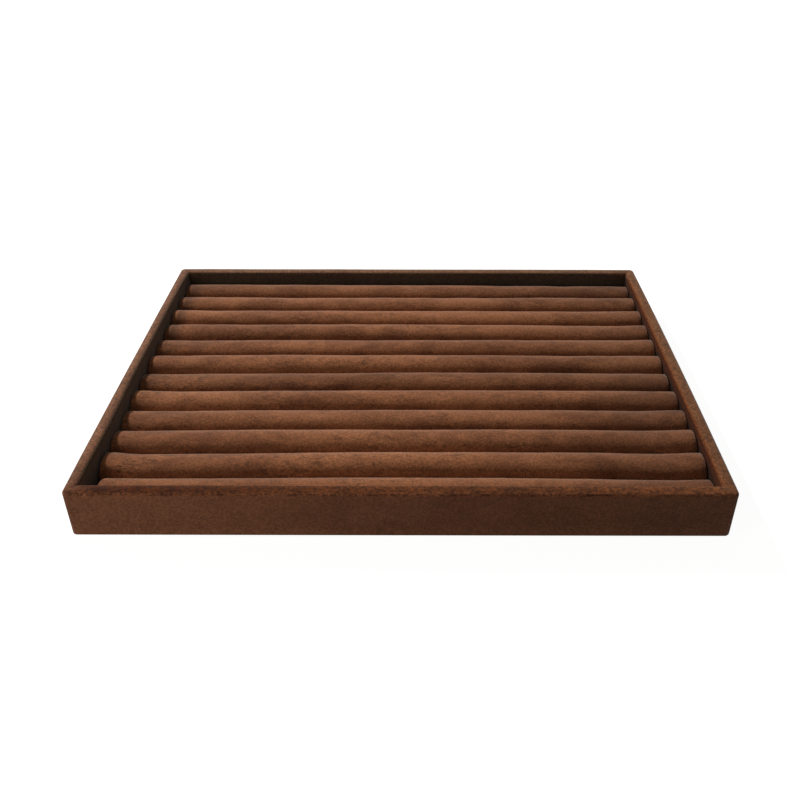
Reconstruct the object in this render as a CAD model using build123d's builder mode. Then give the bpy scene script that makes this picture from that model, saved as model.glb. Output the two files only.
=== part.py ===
from build123d import *
import os

# Jewelry display tray: a shallow board tray wrapped in suede, filled with twelve loose foam rolls
# in suede sleeves. Millimetres. The origin is at the middle of the underside, +X along the long
# side, +Y towards the back and +Z up.

os.makedirs("parts", exist_ok=True)

# Tray outside
tray_length = 350.0
tray_width = 240.0
tray_height = 30.0
corner_radius = 3.0
rim_outer_radius = 1.6
rim_inner_radius = 1.2
foot_radius = 0.8

# Material thicknesses
suede = 1.0
board = 5.0
floor_thickness = 2.0
base_sheet_thickness = 0.6
card_thickness = 0.4
floor_suede = 0.4

# Hem of the wrap, turned under the floor board
hem_width = 15.0
base_sheet_margin = 3.0

# Brads
brad_radius = 0.6
brad_head_radius = 1.1
brad_head_depth = 0.5
corner_brad_length = 18.0
floor_brad_length = 10.0
floor_brads_long_side = 5
floor_brads_short_side = 3
floor_brad_inset = 30.0
corner_brad_spacing = 14.0

# Rolls
roll_count = 12
roll_pitch = 18.8
roll_radius = 9.2
roll_top = 22.9
roll_end_gap = 1.0
roll_shoulder = 4.0
roll_cap_dome = 0.8
roll_flat = 0.1
sleeve = 0.9
seam_gap = 0.4
seam_end_margin = 12.0

# Levels from the ground up
hem_bottom = base_sheet_thickness
floor_bottom = hem_bottom + suede
floor_top = floor_bottom + floor_thickness
board_top = tray_height - suede
lining_top = floor_top + card_thickness + floor_suede

# Plan sizes
frame_length = tray_length - 2 * suede
frame_width = tray_width - 2 * suede
frame_corner = corner_radius - suede
inside_length = frame_length - 2 * board
inside_width = frame_width - 2 * board
well_length = inside_length - 2 * suede
well_width = inside_width - 2 * suede
side_board_height = board_top - floor_top


def save(piece, name):
    """Labels a finished piece and writes it as its own STEP file."""
    piece.part.label = name
    export_step(piece.part, f"parts/{name}.step")
    print(f"{name}: {piece.part.volume / 1000:.2f} cm3")


# Where the brads go: (x, y) through the floor board, (x, z) through the front and back boards
side_x = (frame_length - board) / 2
end_y = (frame_width - board) / 2
long_step = (frame_length - 2 * floor_brad_inset) / (floor_brads_long_side - 1)
short_step = (frame_width - 2 * floor_brad_inset) / (floor_brads_short_side - 1)
floor_brad_places = [
    (long_step * (i - (floor_brads_long_side - 1) / 2), side * end_y)
    for side in (-1, 1)
    for i in range(floor_brads_long_side)
] + [
    (side * side_x, short_step * (i - (floor_brads_short_side - 1) / 2))
    for side in (-1, 1)
    for i in range(floor_brads_short_side)
]
corner_brad_x = frame_length / 2 - frame_corner - brad_head_radius
corner_brad_z = (floor_top + board_top) / 2
corner_brad_places = [
    (side * corner_brad_x, corner_brad_z + step * corner_brad_spacing / 2)
    for side in (-1, 1)
    for step in (-1, 1)
]

# Planes that the brads are driven from: up from the floor's underside, in from the outer faces
floor_brad_plane = Plane.XY.offset(floor_bottom)
front_brad_plane = Plane(origin=(0, -frame_width / 2, 0), x_dir=(1, 0, 0), z_dir=(0, 1, 0))
back_brad_plane = Plane(origin=(0, frame_width / 2, 0), x_dir=(1, 0, 0), z_dir=(0, -1, 0))


def brad_steps(length):
    """Radius and depth of a brad's shank, and then of its head."""
    return ((brad_radius, length), (brad_head_radius, brad_head_depth))


def on_plane(places, plane):
    """(x, z) places of the tray as (x, y) places of an upright plane."""
    local = [plane.to_local_coords(Vector(x, 0, z)) for x, z in places]
    return [(point.X, point.Y) for point in local]


# Brads through the front and back boards into the ends of the side boards
with BuildPart() as corner_brads:
    for plane in (front_brad_plane, back_brad_plane):
        for radius, depth in brad_steps(corner_brad_length):
            with BuildSketch(plane):
                with Locations(*on_plane(corner_brad_places, plane)):
                    Circle(radius)
            extrude(amount=depth)
save(corner_brads, "corner_brads")

# Brads up through the floor board into the four side boards
with BuildPart() as floor_brads:
    for radius, depth in brad_steps(floor_brad_length):
        with BuildSketch(floor_brad_plane):
            with Locations(*floor_brad_places):
                Circle(radius)
        extrude(amount=depth)
save(floor_brads, "floor_brads")

# Floor board, to the full size of the frame
with BuildPart() as floor_board:
    with BuildSketch(Plane.XY.offset(floor_bottom)):
        RectangleRounded(frame_length, frame_width, frame_corner)
    extrude(amount=floor_thickness)
    add(floor_brads.part, mode=Mode.SUBTRACT)
save(floor_board, "floor_board")


def long_board(side):
    """Front (-1) or back (1) board, the full length of the frame, its outer ends rounded."""
    with BuildPart() as piece:
        with BuildSketch(Plane.XY.offset(floor_top)):
            RectangleRounded(frame_length, frame_width, frame_corner)
            with Locations((0, -side * board)):
                Rectangle(frame_length, frame_width, mode=Mode.SUBTRACT)
        extrude(amount=side_board_height)
        add(corner_brads.part, mode=Mode.SUBTRACT)
        add(floor_brads.part, mode=Mode.SUBTRACT)
    return piece


front_board = long_board(-1)
save(front_board, "front_board")

back_board = long_board(1)
save(back_board, "back_board")


def short_board(side):
    """Left (-1) or right (1) board, fitted between the front and back boards."""
    with BuildPart() as piece:
        with BuildSketch(Plane.XY.offset(floor_top)):
            with Locations((side * side_x, 0)):
                Rectangle(board, inside_width)
        extrude(amount=side_board_height)
        add(corner_brads.part, mode=Mode.SUBTRACT)
        add(floor_brads.part, mode=Mode.SUBTRACT)
    return piece


left_board = short_board(-1)
save(left_board, "left_board")

right_board = short_board(1)
save(right_board, "right_board")

# Suede wrap: up the outer faces, over the rim, down inside to the floor and hemmed underneath
with BuildPart() as suede_wrap:
    with BuildSketch(Plane.XY.offset(hem_bottom)):
        RectangleRounded(tray_length, tray_width, corner_radius)
    extrude(amount=tray_height - hem_bottom)
    fillet(suede_wrap.faces().sort_by(Axis.Z)[-1].edges(), rim_outer_radius)
    fillet(suede_wrap.faces().sort_by(Axis.Z)[0].edges(), foot_radius)
    with BuildSketch(Plane.XY.offset(floor_top)):
        Rectangle(well_length, well_width)
    extrude(amount=tray_height - floor_top, mode=Mode.SUBTRACT)
    rim_edges = suede_wrap.faces().sort_by(Axis.Z)[-1].inner_wires()[0].edges()
    fillet(rim_edges, rim_inner_radius)
    with BuildSketch(Plane.XY.offset(floor_bottom)):
        RectangleRounded(frame_length, frame_width, frame_corner)
    extrude(amount=floor_thickness, mode=Mode.SUBTRACT)
    with BuildSketch(Plane.XY.offset(floor_top)):
        RectangleRounded(frame_length, frame_width, frame_corner)
        Rectangle(inside_length, inside_width, mode=Mode.SUBTRACT)
    extrude(amount=side_board_height, mode=Mode.SUBTRACT)
    with BuildSketch(Plane.XY.offset(hem_bottom)):
        Rectangle(frame_length - 2 * hem_width, frame_width - 2 * hem_width)
    extrude(amount=suede, mode=Mode.SUBTRACT)
save(suede_wrap, "suede_wrap")

# Card glued on the floor, and the suede face over it that turns down over its edges
with BuildPart() as floor_card:
    with BuildSketch(Plane.XY.offset(floor_top)):
        Rectangle(well_length - 2 * floor_suede, well_width - 2 * floor_suede)
    extrude(amount=card_thickness)
save(floor_card, "floor_card")

with BuildPart() as floor_lining:
    with BuildSketch(Plane.XY.offset(floor_top)):
        Rectangle(well_length, well_width)
    extrude(amount=card_thickness + floor_suede)
    add(floor_card.part, mode=Mode.SUBTRACT)
save(floor_lining, "floor_lining")

# Sheet glued under the tray: it fills the space inside the hem and covers most of the hem
with BuildPart() as base_sheet:
    with BuildSketch(Plane.XY):
        RectangleRounded(
            tray_length - 2 * base_sheet_margin, tray_width - 2 * base_sheet_margin, corner_radius
        )
    extrude(amount=base_sheet_thickness)
    with BuildSketch(Plane.XY.offset(hem_bottom)):
        Rectangle(frame_length - 2 * hem_width, frame_width - 2 * hem_width)
    extrude(amount=suede)
save(base_sheet, "base_sheet")

# Rolls, counted from the back
roll_half = well_length / 2 - roll_end_gap
roll_axis_z = roll_top - roll_radius
roll_bottom = roll_axis_z - roll_radius + roll_flat


def roll_solid(y, inset):
    """A roll's form: round, with rounded shoulders and domed ends, and flat where it lies.

    With an inset it is the core that fills a sleeve of that thickness.
    """
    radius = roll_radius - inset
    half = roll_half - inset
    side_half = roll_half - roll_cap_dome - roll_shoulder
    shoulder = roll_shoulder - inset
    cap_edge = (side_half + shoulder, radius - shoulder)
    with BuildPart() as form:
        with BuildSketch(Plane(origin=(0, y, roll_axis_z), x_dir=(1, 0, 0), z_dir=(0, -1, 0))):
            with BuildLine():
                side = Line((0, radius), (side_half, radius))
                corner = TangentArc(side @ 1, cap_edge, tangent=side % 1)
                Polyline(corner @ 1, (half, 0), (0, 0))
                mirror(about=Plane.YZ)
                Polyline((-half, 0), (0, 0))
            make_face()
        revolve(axis=Axis((0, y, roll_axis_z), (1, 0, 0)))
        split(bisect_by=Plane.XY.offset(roll_bottom + inset), keep=Keep.TOP)
    return form


for number in range(1, roll_count + 1):
    y = roll_pitch * ((roll_count + 1) / 2 - number)

    # Foam core
    roll_core = roll_solid(y, sleeve)
    save(roll_core, f"roll_core_{number:02d}")

    # Suede sleeve around the core, its two long edges meeting underneath
    with BuildPart() as roll_cover:
        add(roll_solid(y, 0).part)
        add(roll_core.part, mode=Mode.SUBTRACT)
        with BuildSketch(Plane.XY.offset(roll_bottom)):
            with Locations((0, y)):
                Rectangle(2 * (roll_half - seam_end_margin), seam_gap)
        extrude(amount=sleeve, mode=Mode.SUBTRACT)
    save(roll_cover, f"roll_cover_{number:02d}")

print(f"roll gap {roll_pitch - 2 * roll_radius:.2f} mm, over the lining {roll_bottom - lining_top:.2f} mm")
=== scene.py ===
import math

import bpy
import numpy as np
from mathutils import Matrix, Vector, noise


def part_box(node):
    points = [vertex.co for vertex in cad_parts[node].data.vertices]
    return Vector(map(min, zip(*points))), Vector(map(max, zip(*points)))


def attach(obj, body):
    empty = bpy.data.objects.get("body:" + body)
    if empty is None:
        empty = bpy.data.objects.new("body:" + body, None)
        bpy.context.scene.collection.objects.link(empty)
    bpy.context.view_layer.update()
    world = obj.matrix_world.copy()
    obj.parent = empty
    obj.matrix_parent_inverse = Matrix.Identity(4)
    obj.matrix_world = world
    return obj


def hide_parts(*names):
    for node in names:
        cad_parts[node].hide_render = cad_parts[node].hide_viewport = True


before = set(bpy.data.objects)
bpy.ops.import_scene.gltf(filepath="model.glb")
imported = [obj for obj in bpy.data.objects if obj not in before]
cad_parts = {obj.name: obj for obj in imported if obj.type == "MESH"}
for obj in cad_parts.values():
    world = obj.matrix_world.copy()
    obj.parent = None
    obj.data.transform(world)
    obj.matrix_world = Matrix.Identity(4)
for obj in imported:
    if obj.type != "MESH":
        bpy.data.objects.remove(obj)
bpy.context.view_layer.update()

# Jewelry tray: a board tray wrapped in brown suede, with twelve loose suede rolls. Metres, in the
# frame's own axes: +X along the rolls, +Y towards the back, +Z up.

mm = 0.001
ROLL_NUMBERS = range(1, 13)

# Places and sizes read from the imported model
wrap_low, wrap_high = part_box("suede_wrap")
left_low, left_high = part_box("left_board")
lining_low, lining_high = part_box("floor_lining")
base_low, base_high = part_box("base_sheet")
roll_boxes = {n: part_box(f"roll_cover_{n:02d}") for n in ROLL_NUMBERS}

suede = left_low.x - wrap_low.x
board = left_high.x - left_low.x
wall = board + 2 * suede
floor_top = left_low.z
half_length = wrap_high.x
half_width = wrap_high.y
rim_height = wrap_high.z
hem_bottom = wrap_low.z
well_half_length = half_length - wall
well_half_width = half_width - wall
roll_pitch = roll_boxes[1][1].y - roll_boxes[2][1].y


# Meshes

def add_piece(name, points, faces, material):
    """A smooth-shaded mesh object at the origin, with its place in its vertices."""
    mesh = bpy.data.meshes.new(name)
    mesh.from_pydata([tuple(p) for p in points], [], faces)
    mesh.polygons.foreach_set("use_smooth", [True] * len(mesh.polygons))
    mesh.materials.append(material)
    mesh.update()
    piece = bpy.data.objects.new(name, mesh)
    bpy.context.collection.objects.link(piece)
    return piece


def tube_faces(rings, around, first=0, flip=False):
    """Quads between rings of points, each ring closed on itself."""
    faces = []
    for r in range(rings - 1):
        for k in range(around):
            a = first + r * around + k
            b = first + r * around + (k + 1) % around
            quad = (a, b, b + around, a + around)
            faces.append(quad[::-1] if flip else quad)
    return faces


def pole_faces(pole, ring_start, around, flip=False):
    """A fan of triangles from a pole to a ring."""
    faces = []
    for k in range(around):
        a = ring_start + k
        b = ring_start + (k + 1) % around
        faces.append((pole, b, a) if flip else (pole, a, b))
    return faces


def smooth_step(t):
    """0 where t is below 0, 1 where it is above 1, and a smooth step between."""
    t = np.clip(t, 0.0, 1.0)
    return t * t * (3 - 2 * t)


def bell(t):
    """1 where t is 0, falling smoothly to 0 on both sides."""
    return np.exp(-(t**2))


def wave(seed, x, length):
    """A smooth wavering line along x, about -1 to 1, the same for the same seed."""
    random = np.random.default_rng(seed)
    total = np.zeros_like(np.asarray(x, float))
    for share, part in ((0.5, 1.0), (0.3, 0.46), (0.2, 0.23)):
        total += share * np.sin(2 * math.pi * x / (length * part) + random.uniform(0, 2 * math.pi))
    return total


def lumps(place, size, evenness=1.0):
    """Smooth random lumps of about a size, mostly between -1 and 1."""
    return noise.fractal(Vector(place) / size, evenness, 2.0, 3)


# Materials

def new_material(name):
    """(node tree, shader, material) of a new Principled material."""
    material = bpy.data.materials.new(name)
    material.use_nodes = True
    tree = material.node_tree
    return tree, tree.nodes["Principled BSDF"], material


def scaled_coordinates(tree, scale=(1.0, 1.0, 1.0)):
    """Object coordinates multiplied by scale, one number for each axis."""
    coordinates = tree.nodes.new("ShaderNodeTexCoord")
    mapping = tree.nodes.new("ShaderNodeMapping")
    mapping.inputs["Scale"].default_value = scale
    tree.links.new(coordinates.outputs["Object"], mapping.inputs["Vector"])
    return mapping.outputs["Vector"]


def noise_texture(tree, vector, scale, detail=2.0, roughness=0.5, distortion=0.0):
    texture = tree.nodes.new("ShaderNodeTexNoise")
    texture.inputs["Scale"].default_value = scale
    texture.inputs["Detail"].default_value = detail
    texture.inputs["Roughness"].default_value = roughness
    texture.inputs["Distortion"].default_value = distortion
    tree.links.new(vector, texture.inputs["Vector"])
    return texture.outputs["Fac"]


def spread_out(tree, value, low, high, to_low=0.0, to_high=1.0):
    """Maps low..high of a value to to_low..to_high, clamped."""
    node = tree.nodes.new("ShaderNodeMapRange")
    node.inputs["From Min"].default_value = low
    node.inputs["From Max"].default_value = high
    node.inputs["To Min"].default_value = to_low
    node.inputs["To Max"].default_value = to_high
    tree.links.new(value, node.inputs["Value"])
    return node.outputs["Result"]


def mix_colours(tree, factor, first, second, blend="MIX"):
    """A mix of two colours, each an output or a plain colour; the factor may be a number."""
    node = tree.nodes.new("ShaderNodeMix")
    node.data_type = "RGBA"
    node.blend_type = blend
    for name, colour in (("A", first), ("B", second)):
        socket = next(s for s in node.inputs if s.name == name and s.type == "RGBA")
        if isinstance(colour, bpy.types.NodeSocket):
            tree.links.new(colour, socket)
        else:
            socket.default_value = (*colour, 1.0)
    if isinstance(factor, bpy.types.NodeSocket):
        tree.links.new(factor, node.inputs["Factor"])
    else:
        node.inputs["Factor"].default_value = factor
    return next(s for s in node.outputs if s.type == "RGBA")


def scaled_colour(tree, colour, factor):
    """A colour made darker or lighter by a factor."""
    node = tree.nodes.new("ShaderNodeVectorMath")
    node.operation = "SCALE"
    tree.links.new(colour, node.inputs["Vector"])
    tree.links.new(factor, node.inputs["Scale"])
    return node.outputs["Vector"]


def maths(tree, operation, first, second):
    """A sum, product or the like of two values, each an output or a number."""
    node = tree.nodes.new("ShaderNodeMath")
    node.operation = operation
    for socket, value in zip(node.inputs, (first, second)):
        if isinstance(value, bpy.types.NodeSocket):
            tree.links.new(value, socket)
        else:
            socket.default_value = value
    return node.outputs["Value"]


def weighted_sum(tree, first, second):
    """Sum of two values, each given with its weight."""
    parts = [maths(tree, "MULTIPLY", value, weight) for value, weight in (first, second)]
    return maths(tree, "ADD", *parts)


def add_bump(tree, shader, heights):
    """Bumps from (height, strength, distance) triples, one on top of another."""
    normal = None
    for height, strength, distance in heights:
        bump = tree.nodes.new("ShaderNodeBump")
        bump.inputs["Strength"].default_value = strength
        bump.inputs["Distance"].default_value = distance
        tree.links.new(height, bump.inputs["Height"])
        if normal is not None:
            tree.links.new(normal, bump.inputs["Normal"])
        normal = bump.outputs["Normal"]
    tree.links.new(normal, shader.inputs["Normal"])


def add_finish(tree, shader, tone, tones, dark, light, grain, grains, roughness, bump):
    """Colour from dark to light over the tones of one pattern; roughness and bumps from a grain."""
    colour = mix_colours(tree, spread_out(tree, tone, *tones), dark, light)
    tree.links.new(colour, shader.inputs["Base Color"])
    tree.links.new(spread_out(tree, grain, *grains, *roughness), shader.inputs["Roughness"])
    add_bump(tree, shader, [(grain, *bump)])


NAP_UP = (0.268, 0.102, 0.042)
NAP_DOWN = (0.143, 0.049, 0.0195)


def suede_material(name, stretch, offset, patchy, sheen, speckle=0.28, combed=1.0):
    """Brushed microfibre suede: smears of raised and flattened nap, short dark strokes where a
    finger brushed it, fine grain and single fibres.

    stretch makes the smears longer along X or Y, patchy is how much they show, speckle is how far
    single tufts are from the mean, and combed under 1 makes the tufts longer along X. The mesh's
    own nap attribute tints whole faces, partly because nap that lies another way looks darker or
    greyer and partly as painted shade, painted light and painted sheen; its alpha says how much a
    place is brushed.
    """
    tree, shader, material = new_material(name)
    plain = scaled_coordinates(tree, (combed, 1.0, 1.0))
    smeared = scaled_coordinates(tree, stretch)
    smeared.node.inputs["Location"].default_value = (offset, 0.6 * offset, 0.3 * offset)

    clouds = noise_texture(tree, smeared, 19.0, detail=5.0, roughness=0.62, distortion=0.4)
    smears = noise_texture(tree, smeared, 80.0, detail=4.0, roughness=0.6, distortion=1.0)
    grain = noise_texture(tree, plain, 880.0, detail=1.5, roughness=0.6)
    fibres = noise_texture(tree, plain, 2600.0, detail=2.0, roughness=0.65)
    marks = noise_texture(tree, smeared, 290.0, detail=3.0, roughness=0.6, distortion=1.2)
    marked = noise_texture(tree, smeared, 42.0, detail=2.0, roughness=0.5)

    large_lie = spread_out(tree, clouds, 0.4, 0.6)
    small_lie = spread_out(tree, smears, 0.38, 0.6)
    lie = weighted_sum(tree, (large_lie, 0.65), (small_lie, 0.5))
    lie = spread_out(tree, lie, 0.1, 0.9, to_low=1.0 - patchy, to_high=1.0)
    colour = mix_colours(tree, lie, NAP_DOWN, NAP_UP)

    # The nap attribute carries nap tints together with painted shade, painted light and painted sheen
    nap_and_painted_light = tree.nodes.new("ShaderNodeAttribute")
    nap_and_painted_light.attribute_name = "nap_and_painted_light"
    dark = spread_out(tree, marks, 0.55, 0.62, to_high=0.34)
    bright = spread_out(tree, marks, 0.45, 0.36, to_high=0.2)
    strokes = maths(tree, "SUBTRACT", bright, dark)
    strokes = maths(tree, "MULTIPLY", strokes, spread_out(tree, marked, 0.44, 0.6))
    strokes = maths(tree, "MULTIPLY", strokes, nap_and_painted_light.outputs["Alpha"])
    colour = scaled_colour(tree, colour, maths(tree, "ADD", strokes, 1.0))
    colour = mix_colours(tree, 1.0, colour, nap_and_painted_light.outputs["Color"], blend="MULTIPLY")
    tufts = spread_out(tree, grain, 0.34, 0.66, to_low=1.0 - speckle, to_high=1.0 + speckle)
    tree.links.new(scaled_colour(tree, colour, tufts), shader.inputs["Base Color"])

    roughness = spread_out(tree, grain, 0.3, 0.7, to_low=0.86, to_high=1.0)
    tree.links.new(roughness, shader.inputs["Roughness"])
    shader.inputs["Specular IOR Level"].default_value = 0.1
    shader.inputs["Sheen Weight"].default_value = sheen
    shader.inputs["Sheen Roughness"].default_value = 0.42
    shader.inputs["Sheen Tint"].default_value = (1.0, 0.93, 0.86, 1.0)
    add_bump(
        tree, shader,
        [(smears, 0.3, 0.5 * mm), (grain, 0.6, 0.4 * mm), (fibres, 0.4, 0.1 * mm)],
    )
    return material


def board_material():
    """Raw fibreboard: pale brown with short darker fibres."""
    tree, shader, material = new_material("raw_board")
    plain = scaled_coordinates(tree)
    fibres = noise_texture(tree, plain, 900.0, detail=4.0, roughness=0.7)
    clouds = noise_texture(tree, plain, 40.0)
    add_finish(
        tree, shader, tone=weighted_sum(tree, (fibres, 0.7), (clouds, 0.3)), tones=(0.35, 0.65),
        dark=(0.26, 0.16, 0.09), light=(0.47, 0.33, 0.2),
        grain=fibres, grains=(0.3, 0.7), roughness=(0.65, 0.9), bump=(0.3, 0.1 * mm),
    )
    return material


def card_material():
    """Grey card with flecks."""
    tree, shader, material = new_material("grey_card")
    flecks = noise_texture(tree, scaled_coordinates(tree), 1400.0, detail=3.0, roughness=0.6)
    add_finish(
        tree, shader, tone=flecks, tones=(0.4, 0.62),
        dark=(0.32, 0.3, 0.27), light=(0.46, 0.44, 0.4),
        grain=flecks, grains=(0.3, 0.7), roughness=(0.8, 0.95), bump=(0.2, 0.05 * mm),
    )
    return material


def foam_material():
    """Off-white open-cell foam."""
    tree, shader, material = new_material("foam")
    cells = tree.nodes.new("ShaderNodeTexVoronoi")
    cells.inputs["Scale"].default_value = 1100.0
    tree.links.new(scaled_coordinates(tree), cells.inputs["Vector"])
    depth = cells.outputs["Distance"]
    add_finish(
        tree, shader, tone=depth, tones=(0.1, 0.6),
        dark=(0.45, 0.42, 0.35), light=(0.78, 0.75, 0.66),
        grain=depth, grains=(0.1, 0.7), roughness=(0.8, 1.0), bump=(0.5, 0.2 * mm),
    )
    return material


def base_material():
    """Dark brown flocked sheet under the tray."""
    tree, shader, material = new_material("flocked_base")
    plain = scaled_coordinates(tree)
    flock = noise_texture(tree, plain, 1500.0, detail=3.0, roughness=0.7)
    clouds = noise_texture(tree, plain, 30.0, detail=3.0, roughness=0.6, distortion=0.5)
    add_finish(
        tree, shader, tone=weighted_sum(tree, (flock, 0.6), (clouds, 0.4)), tones=(0.35, 0.65),
        dark=(0.045, 0.027, 0.019), light=(0.11, 0.066, 0.045),
        grain=flock, grains=(0.3, 0.7), roughness=(0.85, 1.0), bump=(0.4, 0.12 * mm),
    )
    shader.inputs["Specular IOR Level"].default_value = 0.2
    return material


def steel_material():
    """Bright steel of the brads, with a fine grain."""
    tree, shader, material = new_material("brad_steel")
    grain = noise_texture(tree, scaled_coordinates(tree), 1800.0, detail=3.0, roughness=0.6)
    add_finish(
        tree, shader, tone=grain, tones=(0.35, 0.65),
        dark=(0.42, 0.41, 0.4), light=(0.62, 0.61, 0.6),
        grain=grain, grains=(0.3, 0.7), roughness=(0.25, 0.45), bump=(0.15, 0.02 * mm),
    )
    shader.inputs["Metallic"].default_value = 1.0
    return material


EVEN = (0.8, 0.8, 0.8)
ALONG_RIM = (0.6, 1.3, 1.3)
ALONG_ROLLS = (0.55, 1.2, 1.2)
wrap_suede = suede_material("wrap_suede", EVEN, 0.37, patchy=0.4, sheen=0.3, speckle=0.27)
rim_suede = suede_material("rim_suede", EVEN, 0.37, patchy=0.4, sheen=0.3, speckle=0.42)
rubbed_suede = suede_material(
    "rubbed_suede", ALONG_RIM, 0.37, patchy=0.55, sheen=0.2, speckle=0.55, combed=0.7
)
inside_suede = suede_material("inside_suede", EVEN, 0.37, patchy=0.45, sheen=0.03, speckle=0.5)
roll_suede = suede_material("roll_suede", ALONG_ROLLS, 0.74, patchy=0.85, sheen=0.43)
lining_suede = suede_material("lining_suede", EVEN, 1.11, patchy=0.5, sheen=0.2)
foam = foam_material()


def set_nap_and_painted_light(piece, tints, brushing=1.0):
    """What the suede's colour is multiplied by at each vertex, and how much it is brushed there."""
    layer = piece.data.attributes.new("nap_and_painted_light", "FLOAT_COLOR", "POINT")
    colours = np.empty((len(tints), 4), np.float32)
    colours[:, :3] = tints
    colours[:, 3] = brushing
    layer.data.foreach_set("color", colours.ravel())


# Wrap over the frame

RIM_OUTER = 1.9 * mm
RIM_INNER = 1.7 * mm
RIM_CROWN = 0.15 * mm
FOOT = 0.9 * mm
FOOT_PUFF = 0.5 * mm
CORNER = 3.2 * mm
INNER_CORNER = 0.35 * mm
HEM = 15.0 * mm
BASE_MARGIN = base_low.x - wrap_low.x
SIDE_STEP = 2.2 * mm
CORNER_STEPS = 8
MITRE_DEPTH = 0.12 * mm
WRAP_UNEVEN = 0.12 * mm
WRAP_LUMP_SIZE = 38 * mm
RIGHT, BACK, LEFT, FRONT = range(4)
OUTWARD = {RIGHT: (1, 0), BACK: (0, 1), LEFT: (-1, 0), FRONT: (0, -1)}

# Where the points of the section lie: from the hem's end to the base sheet's edge, up the outer
# face, over the rim and down the inner face, closer together near the rim
HEM_SHARES = (0.0, 0.3, 0.6, 0.97)
OUTER_SHARES = np.linspace(0.12, 0.9, 10)
RIM_SHARES = (0.2, 0.4, 0.6, 0.8)
INNER_SHARES = (0.91, 0.87, 0.83, 0.79, 0.75, 0.71, 0.67, 0.6, 0.4, 0.2, 0.0)

# How far each wall bows outwards at its middle, on its outer face and on its inner face, and where
# in the wall's thickness the one bow turns into the other
OUTER_BOWS = {RIGHT: 0.8 * mm, BACK: 0.0, LEFT: 0.3 * mm, FRONT: 0.07 * mm}
INNER_BOWS = {RIGHT: 0.75 * mm, BACK: 0.0, LEFT: 0.8 * mm, FRONT: 0.0}
BOW_TURN_FROM = 0.15
BOW_TURN_WIDTH = 0.8
LEFT_BULGE = 1.1 * mm
LEFT_BULGE_AT = 0.6
LEFT_BULGE_LENGTH = 0.3

# Tints of the outer faces: nap, painted shade on the back and left faces, which face the key light,
# painted light from the floor at the foot, and painted shade towards the right of the front, where
# the light falls off
FACE_NAP = np.array((0.98, 0.98, 1.13))
FACE_PAINTED_SHADES = {RIGHT: 0.88, BACK: 0.76, LEFT: 0.8, FRONT: 0.88}
FRONT_PAINTED_FALLOFF = 0.25
FOOT_PAINTED_LIGHT = 0.18
FOOT_LIGHT_TOP = 9 * mm
FOOT_LIGHT_FADE = 6 * mm
FACE_BRUSHING = 0.35

# Tints of the rim, in streaks: nap, with painted sheen that greys the backlit back rim, and how they
# rise towards the right of the front
RIM_NAP_AND_SHEEN = {
    RIGHT: (0.64, 0.68, 0.67), BACK: (0.63, 0.78, 0.95),
    LEFT: (0.57, 0.56, 0.68), FRONT: (0.4, 0.31, 0.2),
}
FRONT_RIM_RISE = np.array((0.46, 0.64, 0.97))
RIM_BLEND = 0.6
RIM_STREAKS = {RIGHT: 0.2, BACK: 0.2, LEFT: 0.2, FRONT: 0.35}
STREAK_SIZE = 9 * mm
STREAK_EVENNESS = 0.8
RIM_BRUSHING = {RIGHT: 1.0, BACK: 0.8, LEFT: 1.0, FRONT: 0.9}

# A painted highlight along the rim's outer edge, where backlit fuzz catches the light, wider towards
# the right of the front
EDGE_HIGHLIGHT = {
    RIGHT: (1.16, 1.18, 1.36), BACK: (0.9, 0.9, 1.0),
    LEFT: (0.75, 0.92, 1.21), FRONT: (0.98, 0.96, 1.1),
}
EDGE_HIGHLIGHT_WEIGHT = {RIGHT: 0.15, BACK: 0.0, LEFT: 1.0, FRONT: 0.75}
EDGE_AT = {RIGHT: 0.5 * mm, BACK: 0.5 * mm, LEFT: 2.6 * mm, FRONT: 0.3 * mm}
EDGE_WIDTH = {RIGHT: 0.6 * mm, BACK: 0.6 * mm, LEFT: 1.7 * mm, FRONT: 0.85 * mm}
FRONT_EDGE_WIDENS = 0.35

# Tints of the inner faces, darker and greyer than the outside: nap with painted shade, and how far
# out on the rim they begin
INSIDE_NAP_AND_SHADE = {
    RIGHT: (0.2, 0.11, 0.04), BACK: (0.25, 0.4, 0.6),
    LEFT: (0.31, 0.42, 0.44), FRONT: (0.5, 0.45, 0.4),
}
INSIDE_FROM = {RIGHT: 0.7 * mm, BACK: 0.7 * mm, LEFT: 1.8 * mm, FRONT: 0.7 * mm}
INSIDE_FADE = 0.6 * mm
INSIDE_SUEDE_FROM = 0.6 * mm
# Painted light on the left inner face, rising towards the back
LEFT_INSIDE_PAINTED_LIGHT = 0.22
# Painted light on the right inner face just below the rim, fading downwards
RIGHT_TOP_PAINTED_LIGHT = np.array((0.62, 0.52, 0.4))
RIGHT_TOP_LIGHT_FADE = 0.5 * mm

# Painted shade low on the right inner face, up to a wavering line
RIGHT_LOW_PAINTED_SHADE = np.array((0.05, 0.04, 0.03))
RIGHT_LOW_TOP = 23.4 * mm
RIGHT_LOW_FADE = 2.0 * mm
RIGHT_LOW_WAVER = 1.2 * mm
RIGHT_LOW_WAVE = 26 * mm
RIGHT_LOW_SEED = 5

# How far from a corner the look of the side round it fades out
CORNER_BLEND = 7 * mm


def arc_points(centre, radius, start, end, steps):
    """Points along an arc, angles in degrees, as (inwards, up) pairs."""
    angles = np.radians(np.linspace(start, end, steps))
    return [(centre[0] + radius * math.cos(a), centre[1] + radius * math.sin(a)) for a in angles]


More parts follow.
